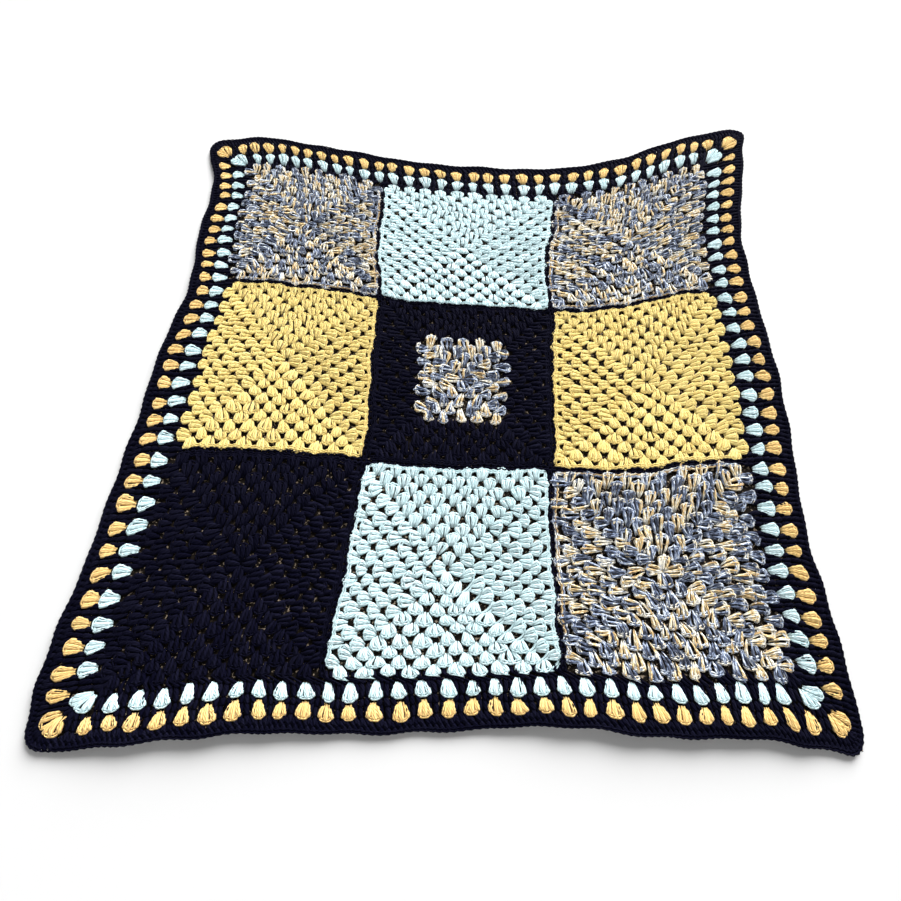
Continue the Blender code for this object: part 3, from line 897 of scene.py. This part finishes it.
def yarn_material(look):
    """Twisted plied yarn whose colour changes from strand to strand and along it, with shade painted at
    its sides and in its grooves.
    """
    material, tree, shader = new_material(look.name + "_look")
    link = tree.links.new
    uv = tree.nodes.new("ShaderNodeUVMap")
    uv.uv_map = "strand"
    parts = tree.nodes.new("ShaderNodeSeparateXYZ")
    link(uv.outputs["UV"], parts.inputs[0])
    around = parts.outputs["X"]
    along = parts.outputs["Y"]
    tint = tree.nodes.new("ShaderNodeAttribute")
    tint.attribute_name = "tint"
    noise = object_noise(tree, FIBRE_SCALE)

    turns = math_node(tree, "MULTIPLY", around, PLY_STARTS * 2 * math.pi)
    pitch = math_node(tree, "MULTIPLY", along, PLY_TURNS * 2 * math.pi)
    twisted = math_node(tree, "ADD", turns, pitch)
    twist_line = math_node(tree, "SINE", twisted, 0.0)

    place = math_node(tree, "MULTIPLY_ADD", along, DRIFT)
    link(tint.outputs["Fac"], place.node.inputs[2])
    fleck = math_node(tree, "MULTIPLY", noise.outputs["Fac"], FIBRE_FLECK)
    place = math_node(tree, "ADD", place, fleck)
    if look.streaks:
        shift = streak_shift(tree, around, along, tint.outputs["Fac"], look.streaks)
        place = math_node(tree, "ADD", place, shift)
    place = math_node(tree, "FRACT", place, 0.0)
    shade = colour_ramp(tree, look.stops, place)

    # Painted shade: the colour is darkened towards the yarn's groove shade in three lines round the
    # strand, at its two sides and in the groove between its plies
    groove_shade_mask = math_node(tree, "MULTIPLY", around, GROOVE_SHADE_LINES * 2 * math.pi)
    groove_shade_mask = math_node(tree, "COSINE", groove_shade_mask, 0.0)
    groove_shade_mask = math_node(tree, "MAXIMUM", groove_shade_mask, 0.0)
    groove_shade_mask = math_node(tree, "MULTIPLY", groove_shade_mask, look.crevice)
    groove_shaded = tree.nodes.new("ShaderNodeMix")
    groove_shaded.data_type = "RGBA"
    link(groove_shade_mask, groove_shaded.inputs["Factor"])
    link(shade, groove_shaded.inputs["A"])
    groove_shaded.inputs["B"].default_value = (*look.deep, 1.0)
    link(groove_shaded.outputs["Result"], shader.inputs["Base Color"])

    fibres = math_node(tree, "MULTIPLY", noise.outputs["Fac"], FIBRE_DEPTH)
    height = math_node(tree, "ADD", twist_line, fibres)
    bump = tree.nodes.new("ShaderNodeBump")
    bump.inputs["Strength"].default_value = BUMP_STRENGTH
    bump.inputs["Distance"].default_value = PLY_DEPTH
    link(height, bump.inputs["Height"])
    link(bump.outputs["Normal"], shader.inputs["Normal"])
    shader.inputs["Roughness"].default_value = YARN_ROUGHNESS
    shader.inputs["Sheen Weight"].default_value = look.sheen
    shader.inputs["Sheen Roughness"].default_value = SHEEN_ROUGHNESS
    shader.inputs["Specular IOR Level"].default_value = look.gloss
    return material


def finish_piece(piece, slot, *nodes):
    """Let a yarn piece ride and stand for its solids."""
    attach(piece, "root")
    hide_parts(*nodes)
    return piece


def make_square(name, clusters, shape, centre, yarns, yarn, joined_sides, open_corners):
    """The posts of one square or middle of a square, and its chains."""
    dark = yarn == "yarn_dark"
    share = CREAM_SHARE if yarn == "yarn_mixed" else None
    posts = YarnPile(name + "_yarn")
    clusters = wandered(clusters, posts.random, STITCH_WANDER if share is None else MIXED_WANDER)
    add_clusters(posts, clusters, shape, centre, dark, share)
    chains = YarnPile(name + "_chains")
    add_chains(chains, clusters, centre, dark, share)
    for quarter in joined_sides:
        starts_joined = (quarter - 1) % 4 in joined_sides
        ends_joined = (quarter + 1) % 4 in joined_sides
        add_side_chain(chains, centre, quarter, starts_joined, ends_joined, share is not None)
    for quarter in open_corners:
        add_corner_loops(chains, centre, quarter, range(2, PANEL_ROUNDS + 1))
    return (
        finish_piece(posts.make(yarns[yarn]), yarn, name),
        finish_piece(chains.make(yarns[yarn]), yarn, name),
    )


def make_panels(yarns):
    """Nine squares, the middle one with a mixed middle and dark rounds."""
    pieces = {}
    for panel in PANEL_ROWS:
        centre = (panel.column * PANEL_STEP, panel.row * PANEL_STEP)
        is_centre = panel.column == 0 and panel.row == 0
        first = CENTRE_ROUNDS + 1 if is_centre else 1
        clusters = square_clusters(range(first, PANEL_ROUNDS + 1), panel.open_corners)
        is_joined = (panel.row > -1, panel.column < 1, panel.row < 1, panel.column > -1)
        joined = [quarter for quarter in range(4) if is_joined[quarter]]
        placed = (panel.name, clusters, panel.shape, centre)
        pieces[panel.name] = make_square(*placed, yarns, panel.yarn, joined, panel.open_corners)
    middle = square_clusters(range(1, CENTRE_ROUNDS + 1))
    placed = ("panel_centre_mixed", middle, MIXED_CLUSTER, (0.0, 0.0))
    pieces["panel_centre_mixed"] = make_square(*placed, yarns, "yarn_mixed", (), ())
    return pieces


def make_border(yarns):
    """The joins and the five rounds of the border."""
    pieces = {}
    for part in BORDER_PIECES:
        pile = YarnPile(part.name + "_yarn")
        if part.name == "joins_dark":
            add_join_lines(pile)
        for row in part.rows:
            clusters = border_clusters(*row)
            is_drop = row.corner == "pair"
            if is_drop:
                clusters = wandered(clusters, pile.random, BORDER_WANDER)
            add_clusters(pile, clusters, part.shape, dark=not is_drop)
            if is_drop:
                add_chains(pile, clusters, chain=DROP_CHAIN)
        if part.name == "border_dark_outer":
            for edging in EDGING_ROWS:
                add_edging(pile, edging)
            for strand in EDGE_STRANDS:
                add_edge_strand(pile, strand)
        pieces[part.name] = finish_piece(pile.make(yarns[part.look]), part.slot, part.name)
    return pieces


def declare_sheets(panels, border):
    """Gather each square's chains, with the mixed middle and the border going with the dark middle one;
    nothing more is done with them.
    """
    for name, (posts, chains) in panels.items():
        if name == "panel_centre_mixed":
            continue
        going = [chains]
        if name == "panel_centre_dark":
            going += [*panels["panel_centre_mixed"], *border.values()]


FLOOR_SIZE = 12.0
FLOOR_COLOUR = (0.66, 0.66, 0.66)
FLOOR_ROUGHNESS = 0.8
UNDER_GLOSS = 0.05
# The sheet under the cloth: flecks of a dark floor on a near-black ground that is painted shade in the
# cloth's gaps
UNDER_SHADE_AND_FLECK_STOPS = (
    (0.0, (0.008, 0.006, 0.004)),
    (0.58, (0.012, 0.009, 0.007)),
    (0.65, (0.340, 0.265, 0.190)),
    (1.0, (0.560, 0.470, 0.380)),
)
UNDER_FLECKS = 260.0         # flecks of the floor under the cloth, to the metre
UNDER_INSET = 0.30           # it ends inside the cloth's edge, in pitches
UNDER_STATIONS = 16          # points on each of its sides
UNDER_HEIGHT = 0.0001


def add_flat(name, corners, material):
    """One flat polygon as an object."""
    mesh = bpy.data.meshes.new(name)
    mesh.from_pydata(corners, [], [tuple(range(len(corners)))])
    mesh.materials.append(material)
    return add_object(name, mesh)


def make_floor():
    """A pale floor, and under the cloth a dark flecked sheet that shows through its gaps: flecks of a
    darker floor on a near-black ground that is painted shade.
    """
    material, _, shader = new_material("floor_pale")
    shader.inputs["Base Color"].default_value = (*FLOOR_COLOUR, 1.0)
    shader.inputs["Roughness"].default_value = FLOOR_ROUGHNESS
    half = FLOOR_SIZE / 2
    corners = [(-half, -half, 0), (half, -half, 0), (half, half, 0), (-half, half, 0)]
    floor = add_flat("floor", corners, material)

    reach = CLOTH_HALF - UNDER_INSET
    side = np.linspace(-reach, reach, UNDER_STATIONS + 1)[:-1]
    places = [turn(across, -reach, quarter) for quarter in range(4) for across in side]
    u, v = np.array(places).T * CLUSTER_PITCH
    laid = lay(u, v, np.zeros_like(u))
    laid[:, :2] -= SHIFT
    laid[:, 2] = UNDER_HEIGHT
    material, tree, shader = new_material("floor_under_cloth")
    flecks = object_noise(tree, UNDER_FLECKS)
    shade = colour_ramp(tree, UNDER_SHADE_AND_FLECK_STOPS, flecks.outputs["Fac"])
    tree.links.new(shade, shader.inputs["Base Color"])
    shader.inputs["Roughness"].default_value = FLOOR_ROUGHNESS
    shader.inputs["Specular IOR Level"].default_value = UNDER_GLOSS
    floor_and_shade_sheet = add_flat("floor_under_cloth", [tuple(place) for place in laid], material)


CAMERA_PLACE = (0.0116, -0.4924, 0.795)
CAMERA_PITCH = 65.34         # below the horizon, in degrees
CAMERA_YAW = -3.63
CAMERA_ROLL = -1.94
CAMERA_NEAR = 0.01
FOCAL_PIXELS = 620.0
IMAGE_PIXELS = 901
SENSOR_WIDTH = 36.0


def make_camera():
    """The camera in the place from which the photograph was taken."""
    pitch = math.radians(CAMERA_PITCH)
    yaw = math.radians(CAMERA_YAW)
    roll = math.radians(CAMERA_ROLL)
    ahead = math.cos(pitch)
    forward = Vector((math.sin(yaw) * ahead, math.cos(yaw) * ahead, -math.sin(pitch)))
    level = Vector((math.cos(yaw), -math.sin(yaw), 0.0))
    upright = level.cross(forward)
    right = level * math.cos(roll) + upright * math.sin(roll)
    up = upright * math.cos(roll) - level * math.sin(roll)
    data = bpy.data.cameras.new("photo_camera")
    data.sensor_width = SENSOR_WIDTH
    data.lens = FOCAL_PIXELS / IMAGE_PIXELS * SENSOR_WIDTH
    data.clip_start = CAMERA_NEAR
    camera = add_object("photo_camera", data)
    turned = Matrix((right, up, -forward)).transposed().to_4x4()
    camera.matrix_world = Matrix.Translation(CAMERA_PLACE) @ turned
    bpy.context.scene.camera = camera


SUN_FROM = (0.32, 0.76, 0.44)    # direction to the key light, behind the cloth
SUN_STRENGTH = 7.3
SUN_SOFTNESS = 44.0              # seen width of the key light, in degrees
FILL_FROM = (-0.15, -0.88, 0.35)  # from the viewer's side, into the shadows
FILL_STRENGTH = 1.25
FILL_SOFTNESS = 60.0
FAR_LIGHT_AT = (0.1, 1.05, 0.75)  # brightens the far squares
FAR_LIGHT_WATTS = 5.0
FAR_LIGHT_SIZE = 0.8
SKY_STRENGTH = 0.22


def add_light(name, kind, energy, place):
    """A light that is aimed at the middle of the cloth."""
    data = bpy.data.lights.new(name, kind)
    data.energy = energy
    lamp = add_object(name, data)
    lamp.location = place
    lamp.rotation_mode = "QUATERNION"
    lamp.rotation_quaternion = Vector(place).to_track_quat("Z", "Y")
    return data


def make_lights():
    """The key light behind the cloth, two lights that fill in, and the sky."""
    sun = add_light("light_key", "SUN", SUN_STRENGTH, SUN_FROM)
    sun.angle = math.radians(SUN_SOFTNESS)
    fill = add_light("light_fill", "SUN", FILL_STRENGTH, FILL_FROM)
    fill.angle = math.radians(FILL_SOFTNESS)
    far_light = add_light("light_far", "AREA", FAR_LIGHT_WATTS, FAR_LIGHT_AT)
    far_light.size = FAR_LIGHT_SIZE
    world = bpy.data.worlds.new("studio")
    world.use_nodes = True
    sky = world.node_tree.nodes["Background"]
    sky.inputs["Color"].default_value = (1.0, 1.0, 1.0, 1.0)
    sky.inputs["Strength"].default_value = SKY_STRENGTH
    bpy.context.scene.world = world
    bpy.context.scene.view_settings.view_transform = "Standard"


yarn_looks = {look.name: yarn_material(look) for look in YARN_LOOKS}
panel_pieces = make_panels(yarn_looks)
border_pieces = make_border(yarn_looks)
declare_sheets(panel_pieces, border_pieces)
make_floor()
make_camera()
make_lights()
